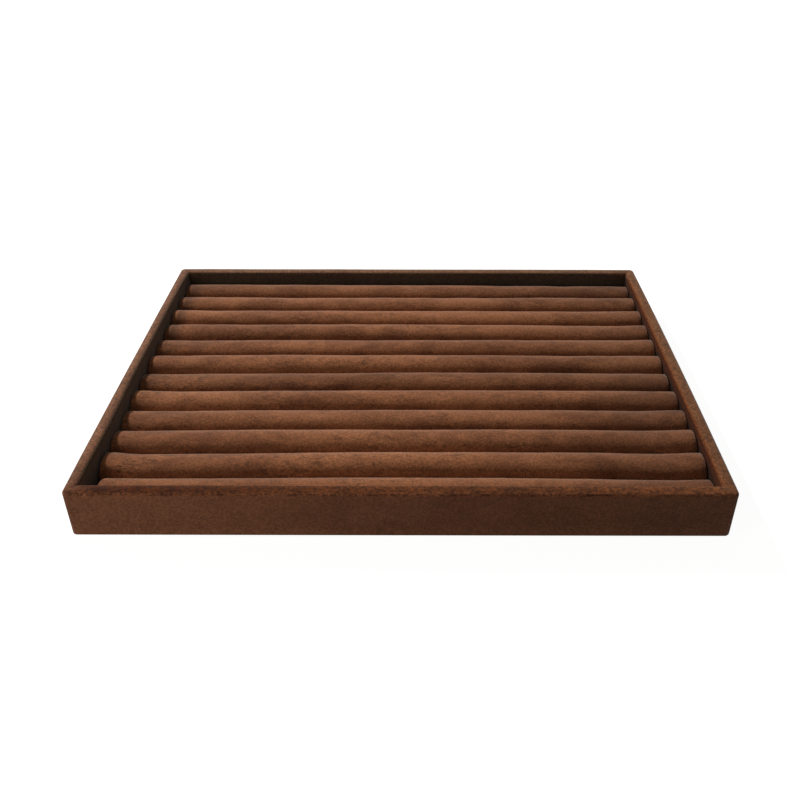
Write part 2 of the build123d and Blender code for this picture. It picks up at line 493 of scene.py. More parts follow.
def wrap_section():
    """Outline of the wrap across a wall, as (inwards, height): the side that shows, then its back."""
    top = rim_height
    hem_end = suede + HEM
    foot_low = hem_bottom - FOOT_PUFF
    skin = [(hem_end - (hem_end - BASE_MARGIN) * share, hem_bottom) for share in HEM_SHARES]
    skin += [(0.8 * BASE_MARGIN, foot_low + 0.35 * FOOT_PUFF), (0.5 * BASE_MARGIN, foot_low)]
    skin += arc_points((FOOT, foot_low + FOOT), FOOT, 270, 180, 6)
    skin += [(0.0, foot_low + (top - foot_low) * share) for share in OUTER_SHARES]
    skin += arc_points((RIM_OUTER, top - RIM_OUTER), RIM_OUTER, 180, 90, 7)
    flat = wall - RIM_OUTER - RIM_INNER
    for share in RIM_SHARES:
        skin.append((RIM_OUTER + flat * share, top + RIM_CROWN * math.sin(math.pi * share)))
    skin += arc_points((wall - RIM_INNER, top - RIM_INNER), RIM_INNER, 90, 0, 7)
    skin += [(wall, floor_top + (top - floor_top) * share) for share in INNER_SHARES]
    back = [
        (wall - suede, floor_top),
        (wall - suede, (floor_top + top) / 2),
        (wall - suede, top - suede),
        (suede, top - suede),
        (suede, (floor_top + top) / 2),
        (suede, hem_bottom + suede),
        (hem_end, hem_bottom + suede),
    ]
    return skin, back


def wrap_ring(inwards):
    """Points round the tray at a distance in from its outer face: (x, y, mitre, side, along, next).

    mitre is 1 on a corner's diagonal, along runs from -1 to 1 between the corners of a side, and
    next is the side round the nearer corner with its share in the look of this point.
    """
    radius = max(CORNER - inwards, INNER_CORNER)
    x_end = half_length - inwards - radius
    y_end = half_width - inwards - radius
    long_steps = round(2 * half_length / SIDE_STEP)
    short_steps = round(2 * half_width / SIDE_STEP)
    ring = []
    for side, sx, sy, steps in (
        (RIGHT, 1, -1, short_steps),
        (BACK, 1, 1, long_steps),
        (LEFT, -1, 1, short_steps),
        (FRONT, -1, -1, long_steps),
    ):
        before, after = (side - 1) % 4, (side + 1) % 4
        turn = math.radians(90 * side - 90)
        for k in range(CORNER_STEPS + 1):
            a = turn + math.pi / 2 * k / CORNER_STEPS
            mitre = 1 - abs(2 * k / CORNER_STEPS - 1)
            x, y = sx * x_end + radius * math.cos(a), sy * y_end + radius * math.sin(a)
            ring.append((x, y, mitre, side, -1.0, (before, 0.5)))
        end = y_end if side in (RIGHT, LEFT) else x_end
        along_x, along_y = -math.sin(turn + math.pi / 2), math.cos(turn + math.pi / 2)
        for k in range(1, steps):
            along = 2 * k / steps - 1
            x = (half_length - inwards) * sx if side in (RIGHT, LEFT) else along * end * along_x
            y = (half_width - inwards) * sy if side in (BACK, FRONT) else along * end * along_y
            share = 0.5 * math.exp(-(1 - abs(along)) * end / CORNER_BLEND)
            ring.append((x, y, 0.0, side, along, (before if along < 0 else after, share)))
    return ring


def inner_bow(side, along):
    """How far the inner face of a wall lies outside its straight place."""
    bow = INNER_BOWS[side] * (1 - along**6)
    if side == LEFT:
        bow -= LEFT_BULGE * bell((along - LEFT_BULGE_AT) / LEFT_BULGE_LENGTH)
    return bow


def wall_shift(side, along, inwards):
    """How far a point of the wrap's skin lies outside the straight wall."""
    share = float(smooth_step((inwards / wall - BOW_TURN_FROM) / BOW_TURN_WIDTH))
    return OUTER_BOWS[side] * (1 - along**2) * (1 - share) + inner_bow(side, along) * share


def inside_tint(side, y, height):
    """Tint of a wall's inner face: nap and painted shade, with painted light towards the back on the
    left, and on the right painted shade low down and painted light just below the rim.
    """
    tint = np.array(INSIDE_NAP_AND_SHADE[side])
    # Painted light: the left inner face lighter towards the back
    if side == LEFT:
        tint = tint * (1 + LEFT_INSIDE_PAINTED_LIGHT * y / half_width)
    if side == RIGHT:
        # Painted shade low on the right inner face, up to a wavering line
        waver = RIGHT_LOW_WAVER * float(wave(RIGHT_LOW_SEED, y, RIGHT_LOW_WAVE))
        low = float(smooth_step((RIGHT_LOW_TOP + waver - height) / RIGHT_LOW_FADE))
        tint = tint + (RIGHT_LOW_PAINTED_SHADE - tint) * low
        # Painted light just below the rim
        below_rim = max(0.0, rim_height - RIM_INNER - height)
        tint = tint + (RIGHT_TOP_PAINTED_LIGHT - tint) * math.exp(-below_rim / RIGHT_TOP_LIGHT_FADE)
    return tint


def wrap_nap_and_painted_light(side, inwards, point):
    """Tint and brushing, nap with painted shade, painted light and painted sheen: on the outer faces,
    over the rim, and down the inside.
    """
    x, y, height = point
    streaks = RIM_STREAKS[side] * lumps(point, STREAK_SIZE, STREAK_EVENNESS)
    over_rim = float(smooth_step((height - rim_height + RIM_OUTER) / (RIM_BLEND * RIM_OUTER)))
    across = x / half_length if side == FRONT else 0.0
    # Painted light from the floor, lighter at the foot
    floor_light = FOOT_PAINTED_LIGHT * float(smooth_step((FOOT_LIGHT_TOP - height) / FOOT_LIGHT_FADE))
    # Painted shade: darker on the back and left faces and towards the right of the front
    face = FACE_NAP * (FACE_PAINTED_SHADES[side] - FRONT_PAINTED_FALLOFF * across + floor_light)
    # Rim tints: nap, with painted sheen on the back rim
    rim = np.array(RIM_NAP_AND_SHEEN[side]) * (1 + streaks + FRONT_RIM_RISE * across)
    tint = face + (rim - face) * over_rim
    # Painted highlight along the rim's outer edge, fading with the painted falloff towards the right
    # of the front
    edge_width = EDGE_WIDTH[side] * (1 + FRONT_EDGE_WIDENS * across)
    edge = bell((inwards - EDGE_AT[side]) / edge_width) * (height > rim_height - RIM_OUTER)
    edge_highlight = np.array(EDGE_HIGHLIGHT[side]) * (1 + streaks - FRONT_PAINTED_FALLOFF * across)
    tint = tint + (edge_highlight - tint) * edge * EDGE_HIGHLIGHT_WEIGHT[side]
    # Painted shade down the inner faces
    inside = float(smooth_step((inwards - wall + INSIDE_FROM[side]) / INSIDE_FADE))
    tint = tint + (inside_tint(side, y, height) - tint) * inside
    brushing = FACE_BRUSHING + (RIM_BRUSHING[side] - FACE_BRUSHING) * over_rim * (1 - inside)
    return np.array((*tint, brushing))


def skin_point(x, y, height, inwards, mitre, side, along):
    """A point of the side that shows: bowed, a little uneven, and lower where a mitre runs."""
    lump = WRAP_UNEVEN * lumps((x, y, height), WRAP_LUMP_SIZE)
    shift = wall_shift(side, along, inwards) * (mitre == 0)
    if inwards == 0.0:
        shift += lump
    on_rim = height > rim_height - RIM_OUTER and inwards > 0.0
    rise = lump - MITRE_DEPTH * mitre * float(smooth_step(inwards / CORNER))
    return x + shift * OUTWARD[side][0], y + shift * OUTWARD[side][1], height + rise * on_rim


def shown_suede(side, inwards, height):
    """Which suede a point of the wrap shows."""
    if side == RIGHT and inwards > wall - INSIDE_SUEDE_FROM:
        return "inside"
    if height > rim_height - RIM_OUTER:
        return "rubbed" if side == FRONT else "rim"
    return "plain"


def make_wrap():
    skin, back = wrap_section()
    section = skin + back
    points = []
    tints_and_brushing = []
    shown = []
    for index, (inwards, height) in enumerate(section):
        for x, y, mitre, side, along, (other, share) in wrap_ring(inwards):
            z = height
            if index < len(skin):
                x, y, z = skin_point(x, y, height, inwards, mitre, side, along)
            points.append((x, y, z))
            own = wrap_nap_and_painted_light(side, inwards, (x, y, height))
            tints_and_brushing.append(own + share * (wrap_nap_and_painted_light(other, inwards, (x, y, height)) - own))
            shown.append(shown_suede(side, inwards, height))
    around = len(points) // len(section)
    faces = tube_faces(len(section), around)
    last = (len(section) - 1) * around
    for k in range(around):
        after = (k + 1) % around
        faces.append((last + after, after, k, last + k))
    wrap = add_piece("wrap", points, faces, wrap_suede)
    for kind, material in (("inside", inside_suede), ("rubbed", rubbed_suede), ("rim", rim_suede)):
        wrap.data.materials.append(material)
        for face in wrap.data.polygons:
            if all(shown[v] == kind for v in face.vertices):
                face.material_index = len(wrap.data.materials) - 1
    tints_and_brushing = np.array(tints_and_brushing)
    set_nap_and_painted_light(wrap, tints_and_brushing[:, :3], tints_and_brushing[:, 3])
    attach(wrap, "tray")
    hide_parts("suede_wrap")


make_wrap()


# Suede face of the floor

LINING_COLUMNS, LINING_ROWS = 112, 76
LINING_TURN = 0.35 * mm
LINING_UNEVEN = 0.04 * mm
LINING_LUMP_SIZE = 30 * mm
LINING_SHADE = 0.8


def lining_points():
    """A grid on top that turns down at its edges, then the same grid flat underneath."""
    low, high = lining_low, lining_high
    above, below = [], []
    for y in np.linspace(low.y, high.y, LINING_ROWS + 1):
        for x in np.linspace(low.x, high.x, LINING_COLUMNS + 1):
            edge = min(x - low.x, high.x - x, y - low.y, high.y - y)
            turned = 0.0 if edge > 0 else LINING_TURN
            lump = lumps((x, y, 0.0), LINING_LUMP_SIZE)
            above.append((x, y, high.z - turned - LINING_UNEVEN * (1 + lump)))
            below.append((x, y, low.z))
    return above + below


def lining_faces():
    """Faces of both grids, and between them all round."""
    width = LINING_COLUMNS + 1
    below = width * (LINING_ROWS + 1)
    faces = []
    for r in range(LINING_ROWS):
        for c in range(LINING_COLUMNS):
            a = r * width + c
            b = below + a
            faces.append((a, a + 1, a + 1 + width, a + width))
            faces.append((b + width, b + 1 + width, b + 1, b))
    for a in range(LINING_COLUMNS):
        b = LINING_ROWS * width + a
        faces.append((below + a, below + a + 1, a + 1, a))
        faces.append((b, b + 1, below + b + 1, below + b))
    for r in range(LINING_ROWS):
        a = r * width
        b = a + LINING_COLUMNS
        faces.append((a, a + width, below + a + width, below + a))
        faces.append((below + b, below + b + width, b + width, b))
    return faces


def make_lining():
    points = lining_points()
    lining = add_piece("floor_suede", points, lining_faces(), lining_suede)
    set_nap_and_painted_light(lining, [(LINING_SHADE, LINING_SHADE, LINING_SHADE)] * len(points))
    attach(lining, "tray")
    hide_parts("floor_lining")


make_lining()


# Flocked sheet under the tray

BASE_THICK = 0.6 * mm
BASE_CORNER = 3 * mm
BASE_GRID = 3 * mm
BASE_LIFT = 0.5 * mm
BASE_LIFT_WIDTH = 5 * mm
BASE_LUMP = 0.12 * mm
BASE_LUMP_SIZE = 26 * mm
BASE_EDGE = 0.15 * mm
BASE_EDGE_WIDTH = 0.6 * mm


def grid_lines(half, step, fine):
    """Places from -half to half: fine ones near both ends, then evenly spread."""
    inner = half - fine[-1]
    count = round(2 * inner / step)
    ends = [half - f for f in fine]
    return [-place for place in ends] + list(np.linspace(-inner, inner, count + 1))[1:-1] + ends[::-1]


def rounded(x, y, half_x, half_y):
    """Pulls a grid point in a square corner onto the quarter disc that rounds it."""
    u = abs(x) - (half_x - BASE_CORNER)
    v = abs(y) - (half_y - BASE_CORNER)
    if u <= 0 or v <= 0:
        return x, y
    shrink = max(u, v) / math.hypot(u, v)
    return (
        math.copysign(half_x - BASE_CORNER + u * shrink, x),
        math.copysign(half_y - BASE_CORNER + v * shrink, y),
    )


def make_base():
    """The sheet follows the soft step of the hem: lowest over it, a little higher inside it."""
    half_x, half_y = base_high.x, base_high.y
    fine = (0.0, 0.2 * mm, 0.6 * mm, 1.2 * mm, 2.0 * mm, BASE_CORNER)
    xs = grid_lines(half_x, BASE_GRID, fine)
    ys = grid_lines(half_y, BASE_GRID, fine)
    below, above = [], []
    for row in ys:
        for column in xs:
            x, y = rounded(column, row, half_x, half_y)
            to_hem = min(half_length - suede - HEM - abs(x), half_width - suede - HEM - abs(y))
            lift = BASE_LIFT * float(smooth_step(to_hem / BASE_LIFT_WIDTH + 0.5))
            lump = 0.5 + 0.5 * lumps((x, y, 0.0), BASE_LUMP_SIZE)
            to_edge = min(half_x - abs(column), half_y - abs(row))
            turned = BASE_EDGE * (1 - float(smooth_step(to_edge / BASE_EDGE_WIDTH)))
            z = lift + BASE_LUMP * min(max(lump, 0.0), 1.0) + turned
            below.append((x, y, z))
            above.append((x, y, z + BASE_THICK - 2 * turned))
    width, height = len(xs), len(ys)
    count = width * height
    faces = []
    for r in range(height - 1):
        for c in range(width - 1):
            a = r * width + c
            faces.append((a + width, a + width + 1, a + 1, a))
            faces.append((count + a, count + a + 1, count + a + width + 1, count + a + width))
    border = [*range(width), *range(2 * width - 1, count, width)]
    border += [*range(count - 2, count - width - 1, -1), *range(count - 2 * width, 0, -width)]
    for a, b in zip(border, border[1:] + border[:1]):
        faces.append((a, b, count + b, count + a))
    base = add_piece("base_cover", below + above, faces, base_material())
    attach(base, "tray")
    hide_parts("base_sheet")


make_base()


# Rolls

SLEEVE = 0.9 * mm
CORE_GAP = 0.05 * mm
SLEEVE_STEPS = 190
SLEEVE_AROUND = 60
INNER_STEPS = 40
INNER_AROUND = 28
roll_floor = lining_high.z + 0.08 * mm

# Their section is a little squarer than a circle, for which this is 2
SQUARENESS = 2.12

# Ends: a flat dome and a rounded shoulder, leaning a little, with the suede gathered in pleats
SHOULDER_ALONG = 1.7 * mm
SHOULDER_ACROSS = 2.2 * mm
SHOULDER_RINGS = 8
CAP_RINGS = (0.15, 0.35, 0.55, 0.78)
CAP_DOME = 0.25 * mm
CAP_LEAN = 0.012
CAP_FACING = 0.6
CAP_SEED = 300
RIGHT_END_DEPTH = 0.3
PLEATS = 15
PLEAT_DEPTH = 0.35 * mm

# Contacts between neighbours and with the walls, and the crests
WALL_GAP = 0.15 * mm
CONTACT_GAP = 0.05 * mm
CONTACT_WAVER = 0.3 * mm
CONTACT_WAVE = 0.31
CONTACT_SEED = 100
CREST_WAVER = 0.15 * mm
CREST_WAVE = 0.12
CREST_SEED = 200
END_RISE_LENGTH = 14 * mm

# Seam underneath, and small lumps, fewer underneath and none where rolls touch
SEAM_ANGLE = -math.pi / 2 + 0.3
SEAM_WIDTH = 0.035
SEAM_DEPTH = 0.45 * mm
SEAM_FROM = 0.75
LUMP = 0.14 * mm
LUMP_SIZE = 13 * mm
LUMP_EVENNESS = 0.9
LUMP_STRETCH = 0.7
LUMP_SIDES = 1.3
LUMP_UNDER = 0.35
UNDERSIDE = -0.6

# Each roll's crest over its CAD height at the left end, the middle and the right end, how much it
# rises close to the left and right walls, and its gaps to them, all in millimetres
ROLL_FORMS = {
    1: (0.4, 0.0, -1.0, 0.0, 0.0, 0.2, 0.2),
    2: (0.3, 0.0, 0.2, 0.0, 0.0, 0.1, 0.1),
    3: (0.6, 0.1, 0.3, 0.0, 0.0, 0.1, 0.1),
    4: (0.1, 0.6, -0.5, 0.0, 0.9, 0.1, 0.1),
    5: (-0.8, 0.1, 0.1, 0.0, 0.5, 0.1, 0.1),
    6: (-0.2, 0.9, 0.1, 0.0, 0.0, 0.1, 0.1),
    7: (-1.8, 0.1, -0.9, 0.1, 0.2, 0.1, 0.2),
    8: (-1.3, 0.4, -0.3, 0.8, 0.0, 0.2, 0.1),
    9: (-2.0, 0.1, -0.9, 0.6, 1.2, 0.1, 0.1),
    10: (-1.0, 0.8, 0.2, 0.2, 0.9, 0.1, 0.2),
    11: (-2.5, 0.2, -1.5, 2.1, 1.8, 0.6, 0.3),
    12: (-2.8, -1.5, -3.2, 0.4, 0.8, 4.2, 0.2),
}

# How bright each roll's nap looks, how much painted shade darkens it towards its left end (-1) and
# right end (1), and painted light on its left end inside the wall's shadow
ROLL_NAPS = {1: 0.88, 3: 1.05, 7: 0.8, 9: 0.93, 12: 0.95}
END_PAINTED_SHADES = {-1: 0.1, 1: 0.3}
LEFT_END_PAINTED_LIGHT = 0.5
LEFT_END_LENGTH = 5 * mm
LEFT_END_FADE = 2 * mm

# How much painted shade darkens the rolls' left ends beside the left wall's shadow, and how far from
# the wall
LEFT_ENDS_PAINTED_SHADE = {1: 0.35, 2: 0.6, 3: 0.6, 4: 0.6, 5: 0.25, 6: 0.1, 7: 0.3}
PAINTED_SHADE_UP_TO = 4 * mm
PAINTED_SHADE_FADE = 10 * mm

# How brushed the rolls are: least at the back, more with each roll, and more at the left
BACK_BRUSHING = 0.75
BRUSHING_STEP = 0.03
LEFT_BRUSHING = 0.35


def roll_nap_and_painted_light(number, x):
    """Tint and brushing of a roll: its nap, painted shade towards its ends and beside the left wall's
    shadow, and painted light on its shaded left end.
    """
    from_left = x + well_half_length
    # Painted shade on some rolls' left ends, widening the left wall's shadow
    flat = LEFT_ENDS_PAINTED_SHADE.get(number, 0.0)
    flat = flat * (1 - float(smooth_step((from_left - PAINTED_SHADE_UP_TO) / PAINTED_SHADE_FADE)))
    # Painted shade towards both ends, stronger at the right
    ends = 1 - END_PAINTED_SHADES[1 if x > 0 else -1] * (x / well_half_length) ** 2
    # Painted light on the left end, inside the left wall's shadow
    lifted = float(smooth_step((LEFT_END_LENGTH - from_left) / LEFT_END_FADE))
    tint = ROLL_NAPS.get(number, 1.0) * ends * (1 - flat) + LEFT_END_PAINTED_LIGHT * lifted
    brushing = (BACK_BRUSHING + BRUSHING_STEP * number) * (1 - LEFT_BRUSHING * x / half_length)
    return tint, tint, tint, brushing


def contact(number, x):
    """y of the contact between this roll and the next one, or the well's side at both ends."""
    nominal = roll_pitch * (len(ROLL_NUMBERS) / 2 - number)
    if number in (0, len(ROLL_NUMBERS)):
        return np.full_like(x, math.copysign(well_half_width - WALL_GAP, nominal))
    return nominal + CONTACT_WAVER * wave(CONTACT_SEED + number, x, CONTACT_WAVE)


def crest_height(number, x):
    """z of a roll's top along it: one bend from end to end, a rise by the walls and small waves."""
    left, middle, right, left_rise, right_rise, _, _ = ROLL_FORMS[number]
    t = x / well_half_length
    bend = middle + (right - left) / 2 * t + ((left + right) / 2 - middle) * t**2
    bend = bend + left_rise * bell((t + 1) * well_half_length / END_RISE_LENGTH)
    bend = bend + right_rise * bell((t - 1) * well_half_length / END_RISE_LENGTH)
    waves = CREST_WAVER * wave(CREST_SEED + number, x, CREST_WAVE)
    return roll_boxes[number][1].z + bend * mm + waves


def sleeve_angles():
    """Angles round a sleeve, close together at the seam underneath."""
    even = list(np.linspace(-math.pi, math.pi, SLEEVE_AROUND, endpoint=False))
    seam = [SEAM_ANGLE + step * SEAM_WIDTH for step in (-2.0, -1.0, -0.5, 0.0, 0.5, 1.0, 2.0)]
    kept = [a for a in even if abs(a - SEAM_ANGLE) > 2.5 * SEAM_WIDTH]
    return np.array(sorted(kept + seam))


def roll_stations(half, inset, radius, steps):
    """(place from the middle, share of the radius) of each ring between the two poles."""
    cap_share = 1 - (SHOULDER_ACROSS - inset) / radius
    stations = []
    for ring in CAP_RINGS:
        stations.append((half - CAP_DOME * (ring * cap_share) ** 2, ring * cap_share))
    for beta in np.linspace(0, math.pi / 2, SHOULDER_RINGS):
        turned = (SHOULDER_ALONG - inset) * (1 - math.cos(beta))
        place = half - CAP_DOME * cap_share**2 - turned
        stations.append((place, cap_share + (1 - cap_share) * math.sin(beta)))
    side_end = stations[-1][0]
    body = [(place, 1.0) for place in np.linspace(side_end, -side_end, steps)[1:-1]]
    return stations + body + [(-place, share) for place, share in reversed(stations)]


def roll_ends(number, inset):
    """x of a roll's left and right end, each in from the inner face of its wall."""
    low, high = roll_boxes[number]
    left_gap, right_gap = ROLL_FORMS[number][5:]
    along = (low.y + high.y) / 2 / well_half_width
    left = -well_half_length - inner_bow(LEFT, -along) + left_gap * mm + inset
    right = well_half_length + inner_bow(RIGHT, along) - right_gap * mm - inset
    return left, right


def cap_moves(number, ends, cap, angles, shares, aside, lifted, radius):
    """Moves along X of the two caps: each leans a little and is gathered in pleats."""
    random = np.random.default_rng(CAP_SEED + number)
    moves = 0.0
    for end in (-1, 1):
        lean_y, lean_z, turn = random.uniform(-CAP_LEAN, CAP_LEAN, 3)
        lean = lean_y * aside + lean_z * lifted - (abs(lean_y) + abs(lean_z)) * radius
        fold = 0.5 + 0.5 * np.cos(PLEATS * angles + 90 * turn + 0.8 * np.sin(2 * angles + 50 * turn))
        pleats = PLEAT_DEPTH * fold * np.sin(math.pi * shares)
        moves = moves + (ends == end) * cap * end * (lean - pleats)
    return moves


def swell_and_seam(number, xs, angles, shares, side, up, x, y, z):
    """y and z of a sleeve's points with its swelling, its seam and small lumps."""
    _, swell_y, swell_z = swollen(number, xs, angles)
    slack = np.clip(SWELL_SIDES - np.abs(side), 0, 1)
    y = y + swell_y * slack
    z = z + swell_z * slack
    bumps = np.array([
        lumps((LUMP_STRETCH * px, py, pz), LUMP_SIZE, LUMP_EVENNESS)
        for px, py, pz in zip(x.ravel(), y.ravel(), z.ravel())
    ]).reshape(x.shape)
    free = np.where(up > UNDERSIDE, 1.0, LUMP_UNDER) * np.clip(LUMP_SIDES - np.abs(side), 0, 1)
    body = smooth_step((shares - SEAM_FROM) / (1 - SEAM_FROM))
    seam = bell((angles - SEAM_ANGLE) / SEAM_WIDTH)
    push = LUMP * bumps * free - SEAM_DEPTH * seam * body
    return y + push * np.cos(angles), np.maximum(z + push * np.sin(angles), roll_floor)


def roll_points(number, inset, angles, steps, detail):
    """Rings of points of a roll's surface, and its two poles; inset is how far inside it they lie.

    Arrays of rings stand upright and those of angles lie flat, so that together they fill a grid.
    """
    low, high = roll_boxes[number]
    left, right = roll_ends(number, inset)
    middle, half = (left + right) / 2, (right - left) / 2
    radius = (high.y - low.y) / 2
    stations = roll_stations(half, inset, radius - inset, steps)
    xs = np.array([middle + place for place, _ in stations])
    at_right = right - xs < SHOULDER_ALONG + CAP_DOME
    xs = np.where(at_right, right - RIGHT_END_DEPTH * (right - xs), xs)
    shares = np.array([share for _, share in stations])[:, None]
    back = contact(number - 1, xs)[:, None] - CONTACT_GAP / 2
    front = contact(number, xs)[:, None] + CONTACT_GAP / 2
    centre = (back + front) / 2
    half_wide = (back - front) / 2 - inset
    crest = crest_height(number, xs)[:, None] - inset
    bottom = roll_floor + inset
    centre_z = (crest + bottom) / 2
    half_high = (crest - bottom) / 2

    cos, sin = np.cos(angles), np.sin(angles)
    side = (np.sign(cos) * np.abs(cos) ** (2 / SQUARENESS))[None, :]
    up = (np.sign(sin) * np.abs(sin) ** (2 / SQUARENESS))[None, :]
    y = centre + shares * half_wide * side
    z = centre_z + shares * half_high * up
    x = np.repeat(xs[:, None], len(angles), axis=1)

    from_middle = x - middle
    cap_depth = np.abs(from_middle) - (half - SHOULDER_ALONG - CAP_DOME)
    cap = np.clip(cap_depth / SHOULDER_ALONG, 0, 1)
    ends = np.sign(from_middle)
    x = x + cap_moves(number, ends, cap, angles, shares, y - centre, z - centre_z, radius)
    if detail:
        y, z = swell_and_seam(number, xs, angles, shares, side, up, x, y, z)
    rings = np.stack([x, y, z], axis=-1).reshape(-1, 3)
    poles = [
        (middle + half, centre[0, 0], centre_z[0, 0]),
        (middle - half, centre[-1, 0], centre_z[-1, 0]),
    ]
    return rings, poles, len(stations)


def roll_shell(number, inset, angles, steps, detail=False, first=0, flip=False):
    """Points and faces of a closed roll surface, numbered from first."""
    rings, poles, count = roll_points(number, inset, angles, steps, detail)
    around = len(angles)
    faces = tube_faces(count, around, first, not flip)
    pole = first + count * around
    faces += pole_faces(pole, first, around, flip)
    faces += pole_faces(pole + 1, first + (count - 1) * around, around, not flip)
    return [*map(tuple, rings), *poles], faces


# Swelling of the sleeves: one cloth simulation of them all with air inside and their ends held

SWELL_INSET = 0.3 * mm
SWELL_AROUND = 28
SWELL_STEPS = 90
SWELL_FRAMES = 20
SWELL_PRESSURE = 4.0
SWELL_SPARE = 0.004
SWELL_LIMIT = 0.4 * mm
SWELL_SIDES = 1.12
HELD_RINGS = 11
BLUR_ALONG = (1, 2, 3, 2, 1)
BLUR_ROUND = (1, 2, 1)
swell_angles = np.linspace(-math.pi, math.pi, SWELL_AROUND, endpoint=False)
swells = {}


def swell_shell(number):
    """A coarse sleeve, a little inside the real one, ready for the simulation."""
    points, faces = roll_shell(number, SWELL_INSET, swell_angles, SWELL_STEPS)
    shell = add_piece(f"swelling_{number:02d}", points, faces, roll_suede)
    end = HELD_RINGS * SWELL_AROUND
    held = [*range(end), *range(len(points) - 2 - end, len(points))]
    shell.vertex_groups.new(name="ends").add(held, 1.0, "REPLACE")
    cloth = shell.modifiers.new("cloth", "CLOTH").settings
    cloth.use_pressure = True
    cloth.uniform_pressure_force = SWELL_PRESSURE
    cloth.shrink_min = -SWELL_SPARE
    cloth.vertex_group_mass = "ends"
    cloth.effector_weights.gravity = 0.0
    return shell


def vertex_places(mesh):
    places = np.empty(3 * len(mesh.vertices))
    mesh.vertices.foreach_get("co", places)
    return places.reshape(-1, 3)


def swell_sleeves():
    """Runs the simulation and keeps, in swells, how far each point of each coarse sleeve moved.

    The mean move round the sleeve comes off, because a roll's height follows ROLL_FORMS.
    """
    shells = {number: swell_shell(number) for number in ROLL_NUMBERS}
    for step in range(1, SWELL_FRAMES + 1):
        bpy.context.scene.frame_set(step)
    depsgraph = bpy.context.evaluated_depsgraph_get()
    for number, shell in shells.items():
        before = vertex_places(shell.data)
        moved = vertex_places(shell.evaluated_get(depsgraph).data) - before
        rings = (len(before) - 2) // SWELL_AROUND
        xs = before[:-2, 0].reshape(rings, SWELL_AROUND)[::-1, 0]
        grid = moved[:-2].reshape(rings, SWELL_AROUND, 3)[::-1]
        body = slice(HELD_RINGS, -HELD_RINGS)
        grid[body] -= grid[body].mean(axis=0)
        far = np.linalg.norm(grid, axis=2, keepdims=True)
        swells[number] = (xs, grid * np.minimum(1.0, SWELL_LIMIT / np.maximum(far, 1e-9)))
    bpy.context.scene.frame_set(1)
    for shell in shells.values():
        mesh = shell.data
        bpy.data.objects.remove(shell)
        bpy.data.meshes.remove(mesh)


def blurred(values, weights, axis):
    """A running mean of a grid along one axis, which is taken round."""
    half = len(weights) // 2
    total = np.zeros_like(values)
    for step, weight in zip(range(-half, half + 1), weights):
        total += weight / sum(weights) * np.roll(values, step, axis)
    return total


def swollen(number, xs, angles):
    """The swelling's (x, y, z) moves at rings xs and angles of a roll's own, finer grid."""
    if number not in swells:
        return np.zeros((3, len(xs), len(angles)))
    coarse_xs, moved = swells[number]
    moves = []
    for axis in range(3):
        along = np.array([np.interp(xs, coarse_xs, column) for column in moved[:, :, axis].T])
        grid = np.array([np.interp(angles, swell_angles, row, period=2 * math.pi) for row in along.T])
        moves.append(blurred(blurred(grid, BLUR_ALONG, 0), BLUR_ROUND, 1))
    return moves


swell_sleeves()


def make_roll(number):
    """Suede sleeve and foam core of one roll."""
    inner_angles = np.linspace(-math.pi, math.pi, INNER_AROUND, endpoint=False)
    points, faces = roll_shell(number, 0.0, sleeve_angles(), SLEEVE_STEPS, detail=True)
    inner, inner_faces = roll_shell(
        number, SLEEVE, inner_angles, INNER_STEPS, first=len(points), flip=True
    )
    sleeve = add_piece(f"roll_sleeve_{number:02d}", points + inner, faces + inner_faces, roll_suede)
    sleeve.data.materials.append(rubbed_suede)
    for face in sleeve.data.polygons:
        if abs(face.normal.x) > CAP_FACING:
            face.material_index = 1
    tints_and_brushing = np.array([roll_nap_and_painted_light(number, x) for x, _, _ in points + inner])
    set_nap_and_painted_light(sleeve, tints_and_brushing[:, :3], tints_and_brushing[:, 3])
    core_points, core_faces = roll_shell(number, SLEEVE + CORE_GAP, inner_angles, INNER_STEPS)
    core = add_piece(f"roll_foam_{number:02d}", core_points, core_faces, foam)
    for piece, node, slot in ((sleeve, "roll_cover", "roll_suede"), (core, "roll_core", "foam")):
        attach(piece, f"roll_{number:02d}")
        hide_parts(f"{node}_{number:02d}")


for number in ROLL_NUMBERS:
    make_roll(number)


# Materials of the CAD nodes that stay as they are

def finish_node(name, material):
    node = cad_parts[name]
    node.data.materials.clear()
    node.data.materials.append(material)


raw_board = board_material()
brad_steel = steel_material()
for name in ("floor_board", "front_board", "back_board", "left_board", "right_board"):
    finish_node(name, raw_board)
for name in ("corner_brads", "floor_brads"):
    finish_node(name, brad_steel)
finish_node("floor_card", card_material())


# Camera, solved from the corners of the rim and the foot in the photo

PICTURE = 800
FOCAL_PX = 799.59
CENTRE_PX = (419.57, 268.08)
SENSOR = 36.0
CLIP_START, CLIP_END = 0.01, 50.0
CAMERA_AT = Vector((9.85, -423.36, 329.40)) * mm
YAW, PITCH, ROLL = -0.00056, 0.50300, 0.00177


def make_camera():
    level = math.cos(PITCH)
    forward = Vector((math.sin(YAW) * level, math.cos(YAW) * level, -math.sin(PITCH)))
    right = Vector((math.cos(YAW), -math.sin(YAW), 0.0))
    above = right.cross(forward)
    across = math.cos(ROLL) * right + math.sin(ROLL) * above
    up = math.cos(ROLL) * above - math.sin(ROLL) * right
    data = bpy.data.cameras.new("camera")
    data.sensor_width = SENSOR
    data.lens = FOCAL_PX / PICTURE * SENSOR
    data.shift_x = (PICTURE / 2 - CENTRE_PX[0]) / PICTURE
    data.shift_y = (CENTRE_PX[1] - PICTURE / 2) / PICTURE
    data.clip_start = CLIP_START
    data.clip_end = CLIP_END
    camera = bpy.data.objects.new("camera", data)
    turn = Matrix((across, up, -forward)).transposed().to_4x4()
    camera.matrix_world = Matrix.Translation(CAMERA_AT) @ turn
    bpy.context.collection.objects.link(camera)
    bpy.context.scene.camera = camera


make_camera()


